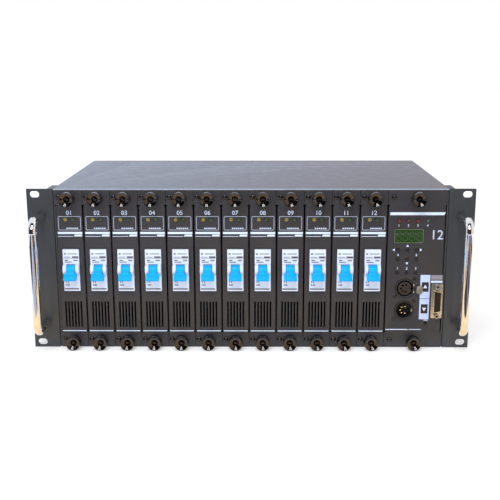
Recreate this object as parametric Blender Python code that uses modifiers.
"""Twelve-channel DMX switch pack: a 19-inch rack unit, four rack spaces high.

A card cage holds twelve plug-in relay modules, each with its own circuit breaker, and one wider
control module. Metres, +Z up. +X runs to the right along the front and the front faces -Y. The
origin is on the base, under the middle of the whole unit.
"""

import math

import bmesh
import bpy
from mathutils import Matrix, Vector

# Rack unit and sheet metal
RACK_WIDTH = 0.4826
RACK_HEIGHT = 0.1770
BODY_DEPTH = 0.2700
SHEET = 0.0015
CLEARANCE = 0.0003

# Rack ears, each an angle with two slots for the rack's screws
EAR_THICKNESS = 0.0030
EAR_FLANGE_THICKNESS = 0.0065
EAR_FLANGE_DEPTH = 0.0300
EAR_REACH = 0.0287
SLOT_LENGTH = 0.0103
SLOT_WIDTH = 0.0070
SLOT_EDGE_X = 0.00875
SLOT_EDGE_Z = 0.00595

# Bow handles, held by a screw through the ear at each foot
HANDLE_ROD = 0.0096
HANDLE_PITCH = 0.1190
HANDLE_REACH = 0.0470
HANDLE_BEND = 0.0120
HANDLE_EDGE = 0.0149
HANDLE_SCREW = 0.0050
HANDLE_SCREW_HEAD = 0.0090
HANDLE_BEND_POINTS = 5

# Front panels and their bays
MODULE_COUNT = 12
CONTROL_BAY = 0.0634
PANEL_THICKNESS = 0.0020
PANEL_GAP = 0.0005
PANEL_FOOT = 0.0169
PANEL_HEAD = 0.0155
PANEL_NOTCH = 0.0011

# Captive thumbscrews
THUMB_DIAMETER = 0.0144
THUMB_REACH = 0.0160
THUMB_RIM = 0.0020
THUMB_DISH = 0.0030
THUMB_EDGE = 0.0085
THUMB_SHANK = 0.0040
THUMB_SHANK_REACH = 0.0080
THUMB_STEPS = 11
THUMB_BITE = 0.0005

# Card cage: rails behind the panels, guide plates and the grooves for the cards
RAIL_DEPTH = 0.0100
GUIDE_LOW = 0.0166
GUIDE_DROP = 0.0170
GUIDE_THICKNESS = 0.0030
GROOVE_DEPTH = 0.0012
RAIL_HOLE_SIDES = 6

# Plug-in cards
CARRIER_INSET = 0.0027
BOARD_STANDOFF = 0.0038
BOARD_THICKNESS = 0.0016
BOARD_FRONT = 0.0720
CARD_GAP = 0.0180
BOARD_EDGE = 0.0100
STANDOFF_RADIUS = 0.0030
STANDOFF_SIDES = 6
STANDOFF_INSET = 0.0080
TONGUE_LENGTH = 0.0100
TONGUE_HEIGHT = 0.0500
TONGUE_Z = 0.0850

# Relay and choke on each module's board
RELAY_SIZE = (0.0140, 0.0460, 0.0360)
RELAY_Y = 0.1100
RELAY_DROP = 0.0350
CHOKE_RADIUS = 0.0190
CHOKE_HEIGHT = 0.0130
CHOKE_SIDES = 12
CHOKE_SETBACK = 0.0430
CHOKE_DROP = 0.0450

# Ventilation slots under each breaker
VENT_COUNT = 6
VENT_PITCH = 0.0034
VENT_WIDTH = 0.0018
VENT_LOW = 0.0231
VENT_HIGH = 0.0525

# Miniature circuit breaker
BREAKER_WIDTH = 0.0176
BREAKER_Z = 0.0880
NOSE_HEIGHT = 0.0465
NOSE_PROUD = 0.0020
NOSE_DEPTH = 0.0200
BREAKER_HEIGHT = 0.0820
BREAKER_DEPTH = 0.0420
CHEEK_WIDTH = 0.0040
CHEEK_HEIGHT = 0.0104
CHEEK_REACH = 0.0075
BREAKER_RAIL_HEIGHT = 0.0350
BREAKER_RAIL_THICKNESS = 0.0012

# Breaker lever, drawn pointing straight out and then tipped down
LEVER_PIVOT_Y = -0.0035
LEVER_PIVOT_Z = 0.0892
LEVER_DRUM_RADIUS = 0.0050
LEVER_DRUM_SIDES = 12
LEVER_TIP = 0.0150
LEVER_THICKNESS = 0.0028
LEVER_PADDLE_WIDTH = 0.0140
LEVER_PADDLE_START = 0.0070
LEVER_NECK_THICKNESS = 0.0040
LEVER_DOWN_ANGLE = math.radians(40.0)

# Backplane and its sockets
BACKPLANE_THICKNESS = 0.0020
BACKPLANE_SETBACK = 0.0240
SOCKET_WIDTH = 0.0080
SOCKET_DEPTH = 0.0120
SOCKET_WALL = 0.0040
BUSBAR_HEIGHT = 0.0150
BUSBAR_THICKNESS = 0.0050
BUSBAR_Z = 0.0500
BUSBAR_MARGIN = 0.0200

# Top cover
COVER_LIP_HEIGHT = 0.0100
COVER_LIP_MARGIN = 0.0020

# Rear panel: vent slots, and blanking plugs in the cable entries
REAR_LIP = 0.0120
REAR_VENT_COUNT = 14
REAR_VENT_PITCH = 0.0120
REAR_VENT_WIDTH = 0.0035
REAR_VENT_HEIGHT = 0.0300
REAR_VENT_DROP = 0.0420
REAR_VENT_X = 0.0500
PLUG_COUNT = 12
PLUG_RADIUS = 0.0100
PLUG_PROUD = 0.0020
PLUG_SIDES = 8
PLUG_Z = 0.0400
PLUG_ROW_LEFT_INSET = 0.0291
PLUG_ROW_RIGHT_INSET = 0.0991
SUPPLY_PLUG_RADIUS = 0.0200
SUPPLY_PLUG_INSET = 0.0376
SUPPLY_PLUG_SIDES = 16

# Control module, placed from its bay's left side, and the data port from its right side
WINDOW_INSET = 0.0236
WINDOW_Z = 0.1256
WINDOW_WIDTH = 0.0316
WINDOW_HEIGHT = 0.0154
WINDOW_LIP = 0.0015
WINDOW_LIP_THICKNESS = 0.0010
CONTROL_BOARD_Y = 0.0120
CONTROL_BOARD_LOW = 0.0805
CONTROL_BOARD_DROP = 0.0050
CONTROL_BOARD_INSET = 0.0052
CONTROL_BOARD_WIDTH = 0.0465
POST_RADIUS = 0.0018
POST_INSET = 0.0022
DIGITS_CLEARANCE = 0.0010
BUTTON_PITCH_X = 0.0100
BUTTON_INSET = 0.0224
BUTTON_ROWS_Z = (0.1106, 0.1003, 0.0853)
BUTTON_RADIUS = 0.0019
BUTTON_PROUD = 0.0008
BUTTON_FLANGE_RADIUS = 0.0028
BUTTON_FLANGE_THICKNESS = 0.0010
BUTTON_TRAVEL = 0.0005
BUTTON_SIDES = 8
TACT_WIDTH = 0.0060
TACT_HEIGHT = 0.0030

# Round five-pin connectors, fixed from behind the panel
XLR_INSET = 0.0213
XLR_OUT_Z = 0.0676
XLR_IN_Z = 0.0429
XLR_RADIUS = 0.0109
XLR_PROUD = 0.0008
XLR_DEPTH = 0.0200
XLR_CAVITY_RADIUS = 0.0081
XLR_CAVITY_DEPTH = 0.0130
XLR_INSERT_RADIUS = 0.0070
XLR_FLANGE = 0.0240
XLR_FLANGE_THICKNESS = 0.0020
XLR_SIDES = 20
XLR_PIN_CIRCLE = 0.0040
XLR_PIN_RADIUS = 0.0012
XLR_PIN_LENGTH = 0.0110
XLR_PIN_SIDES = 6
XLR_PIN_ANGLES = (72.0, 126.0, 180.0, 234.0, 288.0)
LATCH_OFFSET_X = 0.0154
LATCH_OFFSET_Z = -0.0013
LATCH_RADIUS = 0.0033
LATCH_PROUD = 0.0024
LATCH_LENGTH = 0.0080
LATCH_TRAVEL = 0.0012
LATCH_FLANGE_RADIUS = 0.0042
LATCH_SIDES = 12

# Fifteen-way data port, fixed on the panel's front
PORT_INSET = 0.0067
PORT_Z = 0.0536
PORT_WIDTH = 0.0125
PORT_HEIGHT = 0.0392
PORT_PLATE = 0.0008
PORT_SHELL_REACH = 0.0060
PORT_SHELL_WIDTH = 0.0084
PORT_SHELL_HEIGHT = 0.0250
PORT_SHELL_TAPER = 0.0014
PORT_BODY_WIDTH = 0.0086
PORT_BODY_HEIGHT = 0.0262
PORT_BODY_DEPTH = 0.0120
JACKSCREW_SPACING = 0.0333
JACKSCREW_RADIUS = 0.0027
JACKSCREW_REACH = 0.0055
JACKSCREW_DEPTH = 0.0070

# Termination slide switch
SWITCH_INSET = 0.0455
SWITCH_Z = 0.0274
SWITCH_KNOB = 0.0022
SWITCH_PROUD = 0.0012
SWITCH_TRAVEL = 0.0020
SWITCH_SLIDER = 0.0080
SWITCH_SLIDER_THICKNESS = 0.0012

# Control module's power supply block
SUPPLY_SIZE = (0.0380, 0.0500, 0.0420)
SUPPLY_Y = 0.0700
SUPPLY_Z = 0.0250

SMOOTH_ANGLE = math.radians(32.0)
WELD_DISTANCE = 0.000001

# Places worked out from the sizes above
BODY_HALF = RACK_WIDTH / 2 - EAR_REACH
BAY_LEFT = -BODY_HALF + SHEET
CONTROL_LEFT = BODY_HALF - SHEET - CONTROL_BAY
CONTROL_X = CONTROL_LEFT + CONTROL_BAY / 2
MODULE_PITCH = (CONTROL_LEFT - BAY_LEFT) / MODULE_COUNT
SLOT_SPACING_X = RACK_WIDTH - 2 * SLOT_EDGE_X
SLOT_SPACING_Z = RACK_HEIGHT - 2 * SLOT_EDGE_Z
HANDLE_SPACING_X = RACK_WIDTH - 2 * HANDLE_EDGE
HEAD_REAR = EAR_THICKNESS - CLEARANCE
HEAD_POINT = HEAD_REAR - HANDLE_SCREW_HEAD / 2
COVER_UNDERSIDE = RACK_HEIGHT - SHEET
PANEL_LOW = CLEARANCE
PANEL_HIGH = COVER_UNDERSIDE - CLEARANCE
RAIL_FRONT = PANEL_THICKNESS + CLEARANCE
RAIL_REAR = RAIL_FRONT + RAIL_DEPTH
EAR_INNER = BODY_HALF + CLEARANCE
GUIDE_HIGH = RACK_HEIGHT - GUIDE_DROP
FRONT_REACH = HANDLE_REACH + HANDLE_ROD / 2
FRONT_Y = -(BODY_DEPTH + PLUG_PROUD - FRONT_REACH) / 2
BACKPLANE_Y = BODY_DEPTH - BACKPLANE_SETBACK
BACKPLANE_REAR = BACKPLANE_Y + BACKPLANE_THICKNESS
SOCKET_FRONT = BACKPLANE_Y - SOCKET_DEPTH
CARD_REAR = BACKPLANE_Y - CARD_GAP
RELAY_Z = GUIDE_HIGH - RELAY_DROP
CHOKE_Y = CARD_REAR - CHOKE_SETBACK
CHOKE_Z = GUIDE_HIGH - CHOKE_DROP
REAR_VENT_Z = RACK_HEIGHT - REAR_VENT_DROP
PLUG_ROW_LEFT = PLUG_ROW_LEFT_INSET - BODY_HALF
PLUG_PITCH = (BODY_HALF - PLUG_ROW_RIGHT_INSET - PLUG_ROW_LEFT) / (PLUG_COUNT - 1)
SUPPLY_PLUG_X = BODY_HALF - SUPPLY_PLUG_INSET
BREAKER_BACK = NOSE_DEPTH + BREAKER_DEPTH
THUMB_HEIGHTS = (THUMB_EDGE, RACK_HEIGHT - THUMB_EDGE)
WINDOW_X = WINDOW_INSET - CONTROL_BAY / 2
CONTROL_BOARD_LEFT = CONTROL_BOARD_INSET - CONTROL_BAY / 2
CONTROL_BOARD_RIGHT = CONTROL_BOARD_LEFT + CONTROL_BOARD_WIDTH
CONTROL_BOARD_HIGH = GUIDE_HIGH - CONTROL_BOARD_DROP
BUTTON_MIDDLE_X = BUTTON_INSET - CONTROL_BAY / 2
XLR_X = XLR_INSET - CONTROL_BAY / 2
PORT_X = CONTROL_BAY / 2 - PORT_INSET
SWITCH_X = SWITCH_INSET - CONTROL_BAY / 2
LATCH_X = XLR_X + LATCH_OFFSET_X
LATCH_Z = XLR_OUT_Z + LATCH_OFFSET_Z


def clear_scene():
    """Remove whatever the file holds, so that the model stands alone."""
    for old in list(bpy.data.objects):
        bpy.data.objects.remove(old, do_unlink=True)


def new_collection(name):
    collection = bpy.data.collections.new(name)
    bpy.context.scene.collection.children.link(collection)
    return collection


def add_mesh(bm, name):
    """Turn a bmesh into an object among the working pieces."""
    mesh = bpy.data.meshes.new(name)
    bm.to_mesh(mesh)
    bm.free()
    piece = bpy.data.objects.new(name, mesh)
    WORKSHOP.objects.link(piece)
    return piece


def block(low, high):
    """Box between two opposite corners."""
    bm = bmesh.new()
    bmesh.ops.create_cube(bm, size=1.0)
    for vert in bm.verts:
        vert.co = [top if end > 0 else bottom for end, bottom, top in zip(vert.co, low, high)]
    return add_mesh(bm, "block")


def cylinder(start, end, radius, sides, end_radius=None):
    """Round bar or cone from one point to another, with a flat turned up."""
    start, end = Vector(start), Vector(end)
    along = end - start
    bm = bmesh.new()
    bmesh.ops.create_cone(
        bm,
        cap_ends=True,
        segments=sides,
        radius1=radius,
        radius2=radius if end_radius is None else end_radius,
        depth=along.length,
    )
    turn = along.to_track_quat("Z", "Y").to_matrix().to_4x4()
    flat = Matrix.Rotation(math.pi / sides, 4, "Z")
    bmesh.ops.transform(bm, matrix=Matrix.Translation((start + end) / 2) @ turn @ flat, verts=bm.verts)
    return add_mesh(bm, "cylinder")


def turned(profile, steps):
    """Shape turned about the Y axis from (radius, y) points, given from front to back."""
    mesh = bpy.data.meshes.new("profile")
    points = [(radius, 0.0, -y) for radius, y in profile]
    mesh.from_pydata(points, [(i, i + 1) for i in range(len(points) - 1)], [])
    piece = bpy.data.objects.new("turned", mesh)
    WORKSHOP.objects.link(piece)
    screw = piece.modifiers.new("Turn", "SCREW")
    screw.steps = steps
    screw.render_steps = steps
    screw.use_merge_vertices = True
    screw.merge_threshold = WELD_DISTANCE
    bake(piece)
    bm = bmesh.new()
    bm.from_mesh(piece.data)
    bmesh.ops.remove_doubles(bm, verts=bm.verts, dist=WELD_DISTANCE)
    bmesh.ops.recalc_face_normals(bm, faces=bm.faces)
    bmesh.ops.rotate(bm, matrix=Matrix.Rotation(math.pi / 2, 3, "X"), verts=bm.verts)
    bm.to_mesh(piece.data)
    bm.free()
    return piece


def bake(piece):
    """Keep the evaluated mesh and drop the modifiers that made it."""
    bpy.context.view_layer.update()
    graph = bpy.context.evaluated_depsgraph_get()
    mesh = bpy.data.meshes.new_from_object(piece.evaluated_get(graph))
    mesh.transform(piece.matrix_world)
    piece.modifiers.clear()
    piece.matrix_world = Matrix.Identity(4)
    piece.data = mesh


def combine(base, tools, operation):
    """Join or cut one piece with others, which are used up."""
    for tool in tools:
        boolean = base.modifiers.new(operation.title(), "BOOLEAN")
        boolean.operation = operation
        boolean.solver = "EXACT"
        boolean.object = tool
    bake(base)
    for tool in tools:
        bpy.data.objects.remove(tool, do_unlink=True)
    return base


def joined(pieces):
    """One solid from pieces that overlap."""
    return combine(pieces[0], pieces[1:], "UNION")


def cut(base, cutters):
    """Cut every hole at once: the cutters don't touch each other, so they share one mesh."""
    bm = bmesh.new()
    for cutter in cutters:
        bm.from_mesh(cutter.data)
        bpy.data.objects.remove(cutter, do_unlink=True)
    return combine(base, [add_mesh(bm, "cutters")], "DIFFERENCE")


def moved(piece, offset):
    piece.data.transform(Matrix.Translation(Vector(offset)))
    return piece


def finish(name, colour, roughness, metallic=0.0, alpha=1.0):
    """Principled material for one kind of piece."""
    material = bpy.data.materials.new(name)
    material.use_nodes = True
    shader = material.node_tree.nodes["Principled BSDF"]
    shader.inputs["Base Color"].default_value = (*colour, 1.0)
    shader.inputs["Roughness"].default_value = roughness
    shader.inputs["Metallic"].default_value = metallic
    shader.inputs["Alpha"].default_value = alpha
    return material


def prepare(piece, material):
    """Give a mesh its material, and smooth its rounds but not its corners."""
    piece.data.materials.clear()
    piece.data.materials.append(material)
    piece.data.shade_smooth()
    piece.data.set_sharp_from_angle(angle=SMOOTH_ANGLE)
    return piece.data


def place(name, mesh, parent, location=(0.0, 0.0, 0.0)):
    """Put a named piece on its parent, at a place in the parent's frame."""
    piece = bpy.data.objects.new(name, mesh)
    PACK.objects.link(piece)
    piece.parent = parent
    piece.location = location
    return piece


def keep(name, piece, material, parent=None, origin=(0.0, 0.0, 0.0)):
    """Turn a working piece into a named one whose origin is at a given point of its own."""
    mesh = prepare(piece, material)
    mesh.name = name
    mesh.transform(Matrix.Translation(-Vector(origin)))
    bpy.data.objects.remove(piece, do_unlink=True)
    return place(name, mesh, parent or FRONT, origin)


def rear_bar(low_x, high_x, low_z, high_z, front, rear):
    """Box given by its span across, its span up and its front and rear faces."""
    return block((low_x, front, low_z), (high_x, rear, high_z))


def centred(x, z, width, height, front, rear):
    """Box given by the middle of its face, its size and its front and rear faces."""
    return block((x - width / 2, front, z - height / 2), (x + width / 2, rear, z + height / 2))


def round_bar(x, z, radius, front, rear, sides):
    """Round bar that runs from front to rear."""
    return cylinder((x, front, z), (x, rear, z), radius, sides)


def module_x(index):
    return BAY_LEFT + (index + 0.5) * MODULE_PITCH


def bays():
    """Middle and width of every bay, the control module's last."""
    spans = [(module_x(index), MODULE_PITCH) for index in range(MODULE_COUNT)]
    spans.append((CONTROL_X, CONTROL_BAY))
    return spans


def carrier_left(bay):
    """Left face of a card's metal carrier, from the middle of its bay."""
    return -bay / 2 + CARRIER_INSET


def board_left(bay):
    return carrier_left(bay) + SHEET + BOARD_STANDOFF


def thumbscrew(x, z):
    """Knurled head with a dished face, and the shank that screws into the rail."""
    radius = THUMB_DIAMETER / 2
    rim = radius - THUMB_RIM
    shank = THUMB_SHANK / 2
    shank_tip = PANEL_THICKNESS + THUMB_SHANK_REACH
    profile = [
        (0.0, -THUMB_REACH + THUMB_DISH),
        (rim, -THUMB_REACH + THUMB_DISH),
        (rim, -THUMB_REACH),
        (radius, -THUMB_REACH),
        (radius, THUMB_BITE),
        (shank, THUMB_BITE),
        (shank, shank_tip),
        (0.0, shank_tip),
    ]
    return moved(turned(profile, THUMB_STEPS), (x, 0.0, z))


def front_panel(bay):
    """Panel sheet: full width at its head and foot, and narrower between them."""
    half = (bay - PANEL_GAP) / 2
    sheet = block((-half, 0.0, PANEL_LOW), (half, PANEL_THICKNESS, PANEL_HIGH))
    low, high = PANEL_LOW + PANEL_FOOT, PANEL_HIGH - PANEL_HEAD
    notches = []
    for side in (-1, 1):
        inner, outer = side * (half - PANEL_NOTCH), side * (half + PANEL_NOTCH)
        notches.append(
            rear_bar(min(inner, outer), max(inner, outer), low, high, -PANEL_THICKNESS, 2 * PANEL_THICKNESS)
        )
    return cut(sheet, notches)


def card(bay):
    """Metal carrier that slides in the grooves, and the board that stands off it."""
    left = carrier_left(bay)
    low = GUIDE_LOW - GROOVE_DEPTH + CLEARANCE
    high = GUIDE_HIGH + GROOVE_DEPTH - CLEARANCE
    carrier = block((left, PANEL_THICKNESS / 2, low), (left + SHEET, CARD_REAR, high))
    face = board_left(bay)
    board_low, board_high = GUIDE_LOW + BOARD_EDGE, GUIDE_HIGH - BOARD_EDGE
    board = block((face, BOARD_FRONT, board_low), (face + BOARD_THICKNESS, CARD_REAR, board_high))
    tongue = block(
        (face, CARD_REAR - TONGUE_LENGTH, TONGUE_Z - TONGUE_HEIGHT / 2),
        (face + BOARD_THICKNESS, CARD_REAR + TONGUE_LENGTH, TONGUE_Z + TONGUE_HEIGHT / 2),
    )
    posts = []
    for y in (BOARD_FRONT + STANDOFF_INSET, CARD_REAR - STANDOFF_INSET):
        for z in (board_low + STANDOFF_INSET, board_high - STANDOFF_INSET):
            start = (left + SHEET / 2, y, z)
            end = (face + BOARD_THICKNESS / 2, y, z)
            posts.append(cylinder(start, end, STANDOFF_RADIUS, STANDOFF_SIDES))
    return [carrier, board, tongue, *posts]


def relay_module():
    """Front panel, card, relay, choke and breaker rail of one channel, as one rigid piece."""
    bay = MODULE_PITCH
    panel = front_panel(bay)
    holes = [
        centred(
            0.0,
            BREAKER_Z,
            BREAKER_WIDTH + 2 * CLEARANCE,
            NOSE_HEIGHT + 2 * CLEARANCE,
            -PANEL_THICKNESS,
            2 * PANEL_THICKNESS,
        )
    ]
    for index in range(VENT_COUNT):
        x = (index - (VENT_COUNT - 1) / 2) * VENT_PITCH
        half = VENT_WIDTH / 2
        holes.append(rear_bar(x - half, x + half, VENT_LOW, VENT_HIGH, -PANEL_THICKNESS, 2 * PANEL_THICKNESS))
    panel = cut(panel, holes)
    board_face = board_left(bay) + BOARD_THICKNESS
    width, depth, height = RELAY_SIZE
    relay = block(
        (board_face - BOARD_THICKNESS / 2, RELAY_Y - depth / 2, RELAY_Z - height / 2),
        (board_face + width, RELAY_Y + depth / 2, RELAY_Z + height / 2),
    )
    choke = cylinder(
        (board_face - BOARD_THICKNESS / 2, CHOKE_Y, CHOKE_Z),
        (board_face + CHOKE_HEIGHT, CHOKE_Y, CHOKE_Z),
        CHOKE_RADIUS,
        CHOKE_SIDES,
    )
    rail_y = BREAKER_BACK + CLEARANCE
    rail = rear_bar(
        carrier_left(bay) + SHEET / 2,
        BREAKER_WIDTH / 2,
        BREAKER_Z - BREAKER_RAIL_HEIGHT / 2,
        BREAKER_Z + BREAKER_RAIL_HEIGHT / 2,
        rail_y,
        rail_y + BREAKER_RAIL_THICKNESS,
    )
    knobs = [thumbscrew(0.0, z) for z in THUMB_HEIGHTS]
    return joined([panel, *card(bay), relay, choke, rail, *knobs])


def breaker():
    """Housing: a wide body behind the panel, a nose through it and two cheeks at the lever."""
    half = BREAKER_WIDTH / 2
    body = centred(0.0, BREAKER_Z, BREAKER_WIDTH, BREAKER_HEIGHT, NOSE_DEPTH, BREAKER_BACK)
    nose = centred(0.0, BREAKER_Z, BREAKER_WIDTH, NOSE_HEIGHT, -NOSE_PROUD, NOSE_DEPTH + SHEET)
    cheeks = []
    for side in (-1, 1):
        middle = side * (half - CHEEK_WIDTH / 2)
        cheeks.append(centred(middle, LEVER_PIVOT_Z, CHEEK_WIDTH, CHEEK_HEIGHT, -CHEEK_REACH, 0.0))
    shell = joined([body, nose, *cheeks])
    pocket = centred(
        0.0,
        LEVER_PIVOT_Z,
        BREAKER_WIDTH - 2 * CHEEK_WIDTH,
        2 * (LEVER_DRUM_RADIUS + CLEARANCE),
        -2 * NOSE_PROUD,
        LEVER_PIVOT_Y + LEVER_DRUM_RADIUS + CLEARANCE,
    )
    return cut(shell, [pocket])


def lever():
    """Drum, neck and wide paddle, about the pivot, tipped down to where the breaker rests."""
    drum_half = BREAKER_WIDTH / 2 - CHEEK_WIDTH - CLEARANCE
    drum = cylinder((-drum_half, 0.0, 0.0), (drum_half, 0.0, 0.0), LEVER_DRUM_RADIUS, LEVER_DRUM_SIDES)
    neck = centred(0.0, 0.0, 2 * drum_half, LEVER_NECK_THICKNESS, -LEVER_PADDLE_START - SHEET, 0.0)
    paddle = centred(0.0, 0.0, LEVER_PADDLE_WIDTH, LEVER_THICKNESS, -LEVER_TIP, -LEVER_PADDLE_START)
    piece = joined([drum, neck, paddle])
    piece.data.transform(Matrix.Rotation(LEVER_DOWN_ANGLE, 4, "X"))
    return piece


def button_places():
    """Name and place of each push button, by row from the top."""
    names = (("left", "up", "right"), ("cancel", "down", "select"), ("set", "function", "mode"))
    places = []
    for row, z in zip(names, BUTTON_ROWS_Z):
        for column, name in enumerate(row):
            places.append((f"button_{name}", BUTTON_MIDDLE_X + (column - 1) * BUTTON_PITCH_X, z))
    return places


def control_board():
    """Board behind the control panel, with its posts, push switches and digits."""
    front, rear = CONTROL_BOARD_Y, CONTROL_BOARD_Y + BOARD_THICKNESS
    board = rear_bar(
        CONTROL_BOARD_LEFT, CONTROL_BOARD_RIGHT, CONTROL_BOARD_LOW, CONTROL_BOARD_HIGH, front, rear
    )
    pieces = [board]
    for x in (CONTROL_BOARD_LEFT + POST_INSET, CONTROL_BOARD_RIGHT - POST_INSET):
        for z in (CONTROL_BOARD_LOW + POST_INSET, CONTROL_BOARD_HIGH - POST_INSET):
            post_front, post_rear = PANEL_THICKNESS / 2, front + SHEET / 2
            pieces.append(round_bar(x, z, POST_RADIUS, post_front, post_rear, STANDOFF_SIDES))
    for _, x, z in button_places():
        pieces.append(centred(x, z, TACT_WIDTH, TACT_WIDTH, front - TACT_HEIGHT, front + SHEET / 2))
    digits_front = PANEL_THICKNESS + CLEARANCE + WINDOW_LIP_THICKNESS + DIGITS_CLEARANCE
    pieces.append(centred(WINDOW_X, WINDOW_Z, WINDOW_WIDTH, WINDOW_HEIGHT, digits_front, front + SHEET / 2))
    return pieces


def control_panel():
    """Control module: notched panel with its openings, two boards, supply and thumbscrews."""
    panel = front_panel(CONTROL_BAY)
    through = (-PANEL_THICKNESS, 2 * PANEL_THICKNESS)
    gap = 2 * CLEARANCE
    holes = [
        centred(WINDOW_X, WINDOW_Z, WINDOW_WIDTH + gap, WINDOW_HEIGHT + gap, *through),
        centred(PORT_X, PORT_Z, PORT_BODY_WIDTH + gap, PORT_BODY_HEIGHT + gap, *through),
        centred(
            SWITCH_X,
            SWITCH_Z + SWITCH_TRAVEL / 2,
            SWITCH_KNOB + gap,
            SWITCH_KNOB + SWITCH_TRAVEL + gap,
            *through,
        ),
        round_bar(LATCH_X, LATCH_Z, LATCH_RADIUS + CLEARANCE, *through, LATCH_SIDES),
    ]
    for z in (XLR_OUT_Z, XLR_IN_Z):
        holes.append(round_bar(XLR_X, z, XLR_RADIUS + CLEARANCE, *through, XLR_SIDES))
    for side in (-1, 1):
        z = PORT_Z + side * JACKSCREW_SPACING / 2
        holes.append(round_bar(PORT_X, z, JACKSCREW_RADIUS + CLEARANCE, *through, STANDOFF_SIDES))
    for _, x, z in button_places():
        holes.append(round_bar(x, z, BUTTON_RADIUS + CLEARANCE, *through, BUTTON_SIDES))
    panel = cut(panel, holes)
    board_face = board_left(CONTROL_BAY) + BOARD_THICKNESS
    width, depth, height = SUPPLY_SIZE
    supply = block(
        (board_face - BOARD_THICKNESS / 4, SUPPLY_Y + STANDOFF_INSET, SUPPLY_Z + BOARD_EDGE),
        (board_face + width, SUPPLY_Y + STANDOFF_INSET + depth, SUPPLY_Z + BOARD_EDGE + height),
    )
    knobs = [thumbscrew(0.0, z) for z in THUMB_HEIGHTS]
    return joined([panel, *card(CONTROL_BAY), *control_board(), supply, *knobs])


def display_window():
    """Tinted window, held by a lip behind the panel."""
    lip_front = PANEL_THICKNESS + CLEARANCE
    lip_rear = lip_front + WINDOW_LIP_THICKNESS
    face = centred(WINDOW_X, WINDOW_Z, WINDOW_WIDTH, WINDOW_HEIGHT, CLEARANCE, lip_rear)
    lip = centred(
        WINDOW_X, WINDOW_Z, WINDOW_WIDTH + 2 * WINDOW_LIP, WINDOW_HEIGHT + 2 * WINDOW_LIP, lip_front, lip_rear
    )
    return joined([face, lip])


def button(x, z):
    """Cap in the panel's hole, with a flange behind it and a stem towards its switch."""
    flange_front = PANEL_THICKNESS + CLEARANCE
    stem_tip = CONTROL_BOARD_Y - TACT_HEIGHT - BUTTON_TRAVEL - CLEARANCE
    cap = round_bar(x, z, BUTTON_RADIUS, -BUTTON_PROUD, stem_tip, BUTTON_SIDES)
    flange = round_bar(
        x, z, BUTTON_FLANGE_RADIUS, flange_front, flange_front + BUTTON_FLANGE_THICKNESS, BUTTON_SIDES
    )
    return joined([cap, flange])


def xlr_shell(z):
    """Round shell through the panel, with a square flange behind it and a round cavity."""
    flange_front = PANEL_THICKNESS + CLEARANCE
    shell = round_bar(XLR_X, z, XLR_RADIUS, -XLR_PROUD, XLR_DEPTH, XLR_SIDES)
    flange = centred(XLR_X, z, XLR_FLANGE, XLR_FLANGE, flange_front, flange_front + XLR_FLANGE_THICKNESS)
    cavity = round_bar(XLR_X, z, XLR_CAVITY_RADIUS, -2 * XLR_PROUD, XLR_CAVITY_DEPTH, XLR_SIDES)
    return cut(joined([shell, flange]), [cavity])


def xlr_out():
    """Output socket: the insert stands in the cavity and leaves a ring for the plug's shell."""
    insert = round_bar(
        XLR_X, XLR_OUT_Z, XLR_INSERT_RADIUS, 0.0, XLR_CAVITY_DEPTH + SHEET, XLR_SIDES
    )
    return joined([xlr_shell(XLR_OUT_Z), insert])


def xlr_in():
    """Input socket: five pins stand in the cavity, turned a quarter so that the key is at the right."""
    pins = []
    for degrees in XLR_PIN_ANGLES:
        angle = math.radians(degrees)
        x = XLR_X + XLR_PIN_CIRCLE * math.cos(angle)
        z = XLR_IN_Z + XLR_PIN_CIRCLE * math.sin(angle)
        front = XLR_CAVITY_DEPTH - XLR_PIN_LENGTH
        pins.append(round_bar(x, z, XLR_PIN_RADIUS, front, XLR_CAVITY_DEPTH + SHEET, XLR_PIN_SIDES))
    return joined([xlr_shell(XLR_IN_Z), *pins])


def xlr_latch():
    """Release tab beside the output socket, with a flange that keeps it behind the panel."""
    x, z = LATCH_X, LATCH_Z
    flange_front = PANEL_THICKNESS + CLEARANCE
    tab = round_bar(x, z, LATCH_RADIUS, -LATCH_PROUD, LATCH_LENGTH, LATCH_SIDES)
    flange = round_bar(x, z, LATCH_FLANGE_RADIUS, flange_front, flange_front + SHEET, LATCH_SIDES)
    flat = block(
        (x - LATCH_FLANGE_RADIUS * 2, flange_front - CLEARANCE, z - LATCH_FLANGE_RADIUS * 2),
        (XLR_X + XLR_FLANGE / 2 + CLEARANCE, LATCH_LENGTH, z + LATCH_FLANGE_RADIUS * 2),
    )
    return cut(joined([tab, flange]), [flat])


def port_shell():
    """D-shaped shell: a box whose outer side is shorter than its inner one."""
    half_width, half_height = PORT_SHELL_WIDTH / 2, PORT_SHELL_HEIGHT / 2
    bm = bmesh.new()
    bmesh.ops.create_cube(bm, size=1.0)
    for vert in bm.verts:
        side, up = vert.co.x > 0, vert.co.z > 0
        reach = half_height - (PORT_SHELL_TAPER if side else 0.0)
        x = PORT_X + (half_width if side else -half_width)
        z = PORT_Z + (reach if up else -reach)
        vert.co = (x, PANEL_THICKNESS if vert.co.y > 0 else -PORT_SHELL_REACH, z)
    return add_mesh(bm, "shell")


def data_port():
    """Plate on the panel's front, D-shaped shell, body behind and the two jackscrews."""
    plate_rear = -CLEARANCE
    plate = centred(PORT_X, PORT_Z, PORT_WIDTH, PORT_HEIGHT, plate_rear - PORT_PLATE, plate_rear)
    body = centred(
        PORT_X, PORT_Z, PORT_BODY_WIDTH, PORT_BODY_HEIGHT, plate_rear - PORT_PLATE / 2, PORT_BODY_DEPTH
    )
    pieces = [plate, body, port_shell()]
    for side in (-1, 1):
        z = PORT_Z + side * JACKSCREW_SPACING / 2
        screw = round_bar(PORT_X, z, JACKSCREW_RADIUS, -JACKSCREW_REACH, JACKSCREW_DEPTH, STANDOFF_SIDES)
        pieces.append(screw)
    return joined(pieces)


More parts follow.
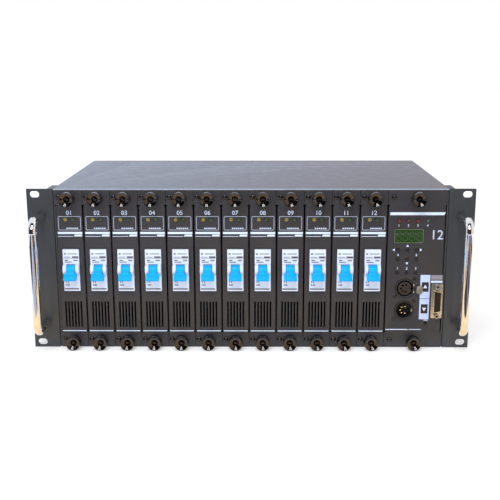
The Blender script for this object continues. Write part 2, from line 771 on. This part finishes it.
def termination_switch():
    """Slider of the line termination switch: a knob in the slot and a plate behind the panel."""
    slider_front = PANEL_THICKNESS + CLEARANCE
    knob = centred(SWITCH_X, SWITCH_Z, SWITCH_KNOB, SWITCH_KNOB, -SWITCH_PROUD, slider_front + SHEET / 2)
    plate = centred(
        SWITCH_X, SWITCH_Z, SWITCH_SLIDER, SWITCH_SLIDER, slider_front, slider_front + SWITCH_SLIDER_THICKNESS
    )
    return joined([knob, plate])


def chassis_tray():
    """Base, sides, front rails and grooved guide plates of the card cage."""
    inner = BODY_HALF - SHEET
    rear = BODY_DEPTH
    guide_rear = BACKPLANE_REAR + SHEET
    pieces = [block((-BODY_HALF, RAIL_FRONT, 0.0), (BODY_HALF, rear, SHEET))]
    for side in (-1, 1):
        low, high = sorted((side * inner, side * BODY_HALF))
        pieces.append(block((low, RAIL_FRONT, 0.0), (high, rear, PANEL_HIGH)))
    reach = inner + SHEET / 2
    pieces.append(block((-reach, RAIL_FRONT, SHEET / 2), (reach, RAIL_REAR, GUIDE_LOW)))
    pieces.append(block((-reach, RAIL_FRONT, GUIDE_HIGH), (reach, RAIL_REAR, PANEL_HIGH)))
    low_plate, high_plate = GUIDE_LOW - GUIDE_THICKNESS, GUIDE_HIGH + GUIDE_THICKNESS
    pieces.append(block((-reach, RAIL_REAR - SHEET, low_plate), (reach, guide_rear, GUIDE_LOW)))
    pieces.append(block((-reach, RAIL_REAR - SHEET, GUIDE_HIGH), (reach, guide_rear, high_plate)))
    cage = joined(pieces)
    cutters = []
    for middle, bay in bays():
        left = middle + carrier_left(bay) - CLEARANCE
        right = left + SHEET + 2 * CLEARANCE
        front, back = RAIL_FRONT - SHEET, BACKPLANE_Y - SHEET
        cutters.append(rear_bar(left, right, GUIDE_LOW - GROOVE_DEPTH, GUIDE_LOW + SHEET, front, back))
        cutters.append(rear_bar(left, right, GUIDE_HIGH - SHEET, GUIDE_HIGH + GROOVE_DEPTH, front, back))
        for z in THUMB_HEIGHTS:
            radius = THUMB_SHANK / 2 + CLEARANCE
            cutters.append(round_bar(middle, z, radius, front, RAIL_REAR + SHEET, RAIL_HOLE_SIDES))
    return cut(cage, cutters)


def top_cover():
    """Flat lid over the whole body, with a lip inside each side."""
    front = THUMB_BITE + CLEARANCE
    lid = block((-BODY_HALF, front, COVER_UNDERSIDE), (BODY_HALF, BODY_DEPTH, RACK_HEIGHT))
    outer = BODY_HALF - SHEET - CLEARANCE
    lips = []
    for side in (-1, 1):
        low, high = sorted((side * (outer - SHEET), side * outer))
        lips.append(
            rear_bar(
                low,
                high,
                COVER_UNDERSIDE - COVER_LIP_HEIGHT,
                COVER_UNDERSIDE + SHEET / 2,
                RAIL_REAR + COVER_LIP_MARGIN,
                BODY_DEPTH - REAR_LIP - SHEET - COVER_LIP_MARGIN,
            )
        )
    return joined([lid, *lips])


def rear_panel():
    """Sheet between the sides, with a lip at each end, vent slots and plugged cable entries."""
    outer = BODY_HALF - SHEET - CLEARANCE
    low, high = SHEET + CLEARANCE, PANEL_HIGH
    front = BODY_DEPTH - SHEET
    sheet = block((-outer, front, low), (outer, BODY_DEPTH, high))
    vents = []
    for index in range(REAR_VENT_COUNT):
        x = REAR_VENT_X + (index - (REAR_VENT_COUNT - 1) / 2) * REAR_VENT_PITCH
        vents.append(
            centred(x, REAR_VENT_Z, REAR_VENT_WIDTH, REAR_VENT_HEIGHT, front - SHEET, BODY_DEPTH + SHEET)
        )
    sheet = cut(sheet, vents)
    pieces = [sheet]
    for side in (-1, 1):
        near, far = sorted((side * (outer - SHEET), side * outer))
        pieces.append(block((near, front - REAR_LIP, low), (far, BODY_DEPTH - SHEET / 2, high)))
    plug_span = (front + SHEET / 2, BODY_DEPTH + PLUG_PROUD)
    for index in range(PLUG_COUNT):
        x = PLUG_ROW_LEFT + index * PLUG_PITCH
        pieces.append(round_bar(x, PLUG_Z, PLUG_RADIUS, *plug_span, PLUG_SIDES))
    pieces.append(round_bar(SUPPLY_PLUG_X, PLUG_Z, SUPPLY_PLUG_RADIUS, *plug_span, SUPPLY_PLUG_SIDES))
    return joined(pieces)


def backplane():
    """Board across the cage, with a socket for each card and a busbar behind."""
    outer = BODY_HALF - SHEET - CLEARANCE
    low, high = GUIDE_LOW + CLEARANCE, GUIDE_HIGH - CLEARANCE
    board = block((-outer, BACKPLANE_Y, low), (outer, BACKPLANE_REAR, high))
    pieces = [board]
    slots = []
    for middle, bay in bays():
        x = middle + board_left(bay) + BOARD_THICKNESS / 2
        height = TONGUE_HEIGHT + 2 * SOCKET_WALL
        pieces.append(centred(x, TONGUE_Z, SOCKET_WIDTH, height, SOCKET_FRONT, BACKPLANE_Y + SHEET / 2))
        slots.append(
            centred(
                x,
                TONGUE_Z,
                BOARD_THICKNESS + 2 * CLEARANCE,
                TONGUE_HEIGHT + 2 * CLEARANCE,
                SOCKET_FRONT - SHEET,
                CARD_REAR + TONGUE_LENGTH + CLEARANCE,
            )
        )
    span = BODY_HALF - BUSBAR_MARGIN
    half = BUSBAR_HEIGHT / 2
    pieces.append(
        rear_bar(
            -span,
            span,
            BUSBAR_Z - half,
            BUSBAR_Z + half,
            BACKPLANE_REAR - SHEET / 2,
            BACKPLANE_REAR + BUSBAR_THICKNESS,
        )
    )
    return cut(joined(pieces), slots)


def rack_ear(side):
    """Slotted front plate and the thick flange that bolts along the body's side."""
    low, high = sorted((side * EAR_INNER, side * RACK_WIDTH / 2))
    plate = block((low, 0.0, 0.0), (high, EAR_THICKNESS, RACK_HEIGHT))
    low, high = sorted((side * EAR_INNER, side * (EAR_INNER + EAR_FLANGE_THICKNESS)))
    web = block((low, EAR_THICKNESS / 2, 0.0), (high, EAR_FLANGE_DEPTH, RACK_HEIGHT))
    ear = joined([plate, web])
    x = side * SLOT_SPACING_X / 2
    straight = SLOT_LENGTH - SLOT_WIDTH
    through = (-EAR_THICKNESS, 2 * EAR_THICKNESS)
    cutters = []
    for end in (-1, 1):
        z = RACK_HEIGHT / 2 + end * SLOT_SPACING_Z / 2
        slot = [centred(x, z, straight, SLOT_WIDTH, *through)]
        for way in (-1, 1):
            slot.append(round_bar(x + way * straight / 2, z, SLOT_WIDTH / 2, *through, LATCH_SIDES))
        cutters.append(joined(slot))
        foot_z = RACK_HEIGHT / 2 + end * HANDLE_PITCH / 2
        foot_x = side * HANDLE_SPACING_X / 2
        radius = HANDLE_SCREW / 2 + CLEARANCE
        point = HEAD_POINT - math.sqrt(2) * CLEARANCE
        cutters.append(sunk_screw(foot_x, foot_z, radius, -EAR_THICKNESS, point, EAR_THICKNESS + SHEET))
    return cut(ear, cutters)


def sunk_screw(x, z, radius, front, point, rear):
    """Shank that widens into a right-angled cone, whose point is at a given depth."""
    profile = [(0.0, front), (radius, front), (radius, point + radius), (rear - point, rear), (0.0, rear)]
    return moved(turned(profile, LATCH_SIDES), (x, 0.0, z))


def handle(side):
    """Bent rod with a screw in each foot, whose head is sunk in the ear's rear face."""
    x = side * HANDLE_SPACING_X / 2
    middle = RACK_HEIGHT / 2
    points = [(x, -CLEARANCE, middle - HANDLE_PITCH / 2)]
    for end in (-1, 1):
        for step in range(HANDLE_BEND_POINTS):
            turn = math.pi / 2 * step / (HANDLE_BEND_POINTS - 1)
            if end > 0:
                turn = math.pi / 2 - turn
            y = -(HANDLE_REACH - HANDLE_BEND) - HANDLE_BEND * math.sin(turn)
            z = middle + end * (HANDLE_PITCH / 2 - HANDLE_BEND + HANDLE_BEND * math.cos(turn))
            points.append((x, y, z))
    points.append((x, -CLEARANCE, middle + HANDLE_PITCH / 2))
    curve = bpy.data.curves.new("rod", "CURVE")
    curve.dimensions = "3D"
    curve.bevel_depth = HANDLE_ROD / 2
    curve.bevel_resolution = 4
    curve.use_fill_caps = True
    spline = curve.splines.new("POLY")
    spline.points.add(len(points) - 1)
    for point, place_at in zip(spline.points, points):
        point.co = (*place_at, 1.0)
    guide = bpy.data.objects.new("rod", curve)
    WORKSHOP.objects.link(guide)
    rod = meshed(guide)
    screws = []
    for end in (-1, 1):
        z = middle + end * HANDLE_PITCH / 2
        screws.append(sunk_screw(x, z, HANDLE_SCREW / 2, -HANDLE_ROD / 2, HEAD_POINT, HEAD_REAR))
    return joined([rod, *screws])


def meshed(guide):
    """Closed mesh from a bevelled curve, so that it can be joined to other solids."""
    bpy.context.view_layer.update()
    graph = bpy.context.evaluated_depsgraph_get()
    mesh = bpy.data.meshes.new_from_object(guide.evaluated_get(graph))
    mesh.transform(guide.matrix_world)
    bm = bmesh.new()
    bm.from_mesh(mesh)
    bmesh.ops.remove_doubles(bm, verts=bm.verts, dist=WELD_DISTANCE)
    bmesh.ops.recalc_face_normals(bm, faces=bm.faces)
    bpy.data.objects.remove(guide, do_unlink=True)
    return add_mesh(bm, "rod")


clear_scene()
PACK = new_collection("switch_pack")
WORKSHOP = new_collection("workshop")
FRONT = bpy.data.objects.new("front_plane", None)
FRONT.location = (0.0, FRONT_Y, 0.0)
PACK.objects.link(FRONT)

CHASSIS_PAINT = finish("chassis_paint", (0.075, 0.077, 0.085), 0.42)
COVER_PAINT = finish("cover_paint", (0.10, 0.10, 0.11), 0.38)
PANEL_PAINT = finish("panel_paint", (0.060, 0.060, 0.065), 0.50)
EAR_PAINT = finish("ear_paint", (0.085, 0.095, 0.11), 0.40)
CHROME = finish("chrome", (0.85, 0.85, 0.86), 0.08, metallic=1.0)
BOARD_GREEN = finish("board_green", (0.03, 0.14, 0.06), 0.45)
BREAKER_WHITE = finish("breaker_white", (0.86, 0.89, 0.92), 0.40)
LEVER_BLUE = finish("lever_blue", (0.01, 0.33, 0.85), 0.35)
WINDOW_GREEN = finish("window_green", (0.03, 0.11, 0.03), 0.12, alpha=0.8)
BLACK_PLASTIC = finish("black_plastic", (0.02, 0.02, 0.022), 0.45)
SHELL_BLACK = finish("shell_black", (0.03, 0.03, 0.03), 0.35, metallic=0.6)
TAB_METAL = finish("tab_metal", (0.55, 0.50, 0.42), 0.40, metallic=0.9)
PORT_METAL = finish("port_metal", (0.62, 0.52, 0.36), 0.35, metallic=0.9)

keep("chassis_tray", chassis_tray(), CHASSIS_PAINT)
keep("top_cover", top_cover(), COVER_PAINT)
keep("rear_panel", rear_panel(), CHASSIS_PAINT)
keep("backplane", backplane(), BOARD_GREEN)
for ear_side, hand in ((-1, "left"), (1, "right")):
    keep(f"rack_ear_{hand}", rack_ear(ear_side), EAR_PAINT)
    keep(f"handle_{hand}", handle(ear_side), CHROME)

MODULE_MESH = prepare(relay_module(), PANEL_PAINT)
BREAKER_MESH = prepare(breaker(), BREAKER_WHITE)
LEVER_MESH = prepare(lever(), LEVER_BLUE)
for channel in range(MODULE_COUNT):
    number = f"{channel + 1:02d}"
    module = place(f"relay_module_{number}", MODULE_MESH, FRONT, (module_x(channel), 0.0, 0.0))
    place(f"breaker_{number}", BREAKER_MESH, module)
    place(f"lever_{number}", LEVER_MESH, module, (0.0, LEVER_PIVOT_Y, LEVER_PIVOT_Z))

CONTROL = bpy.data.objects.new("control_module", None)
CONTROL.parent = FRONT
CONTROL.location = (CONTROL_X, 0.0, 0.0)
PACK.objects.link(CONTROL)
keep("control_panel", control_panel(), PANEL_PAINT, CONTROL)
keep("display_window", display_window(), WINDOW_GREEN, CONTROL)
keep("xlr_out", xlr_out(), SHELL_BLACK, CONTROL)
keep("xlr_in", xlr_in(), SHELL_BLACK, CONTROL)
keep("data_port", data_port(), PORT_METAL, CONTROL)
keep("xlr_latch", xlr_latch(), TAB_METAL, CONTROL, (LATCH_X, 0.0, LATCH_Z))
keep("termination_switch", termination_switch(), BLACK_PLASTIC, CONTROL, (SWITCH_X, 0.0, SWITCH_Z))
for button_name, button_x, button_z in button_places():
    keep(button_name, button(button_x, button_z), BLACK_PLASTIC, CONTROL, (button_x, 0.0, button_z))

for leftover in list(WORKSHOP.objects):
    bpy.data.objects.remove(leftover, do_unlink=True)
bpy.data.collections.remove(WORKSHOP)
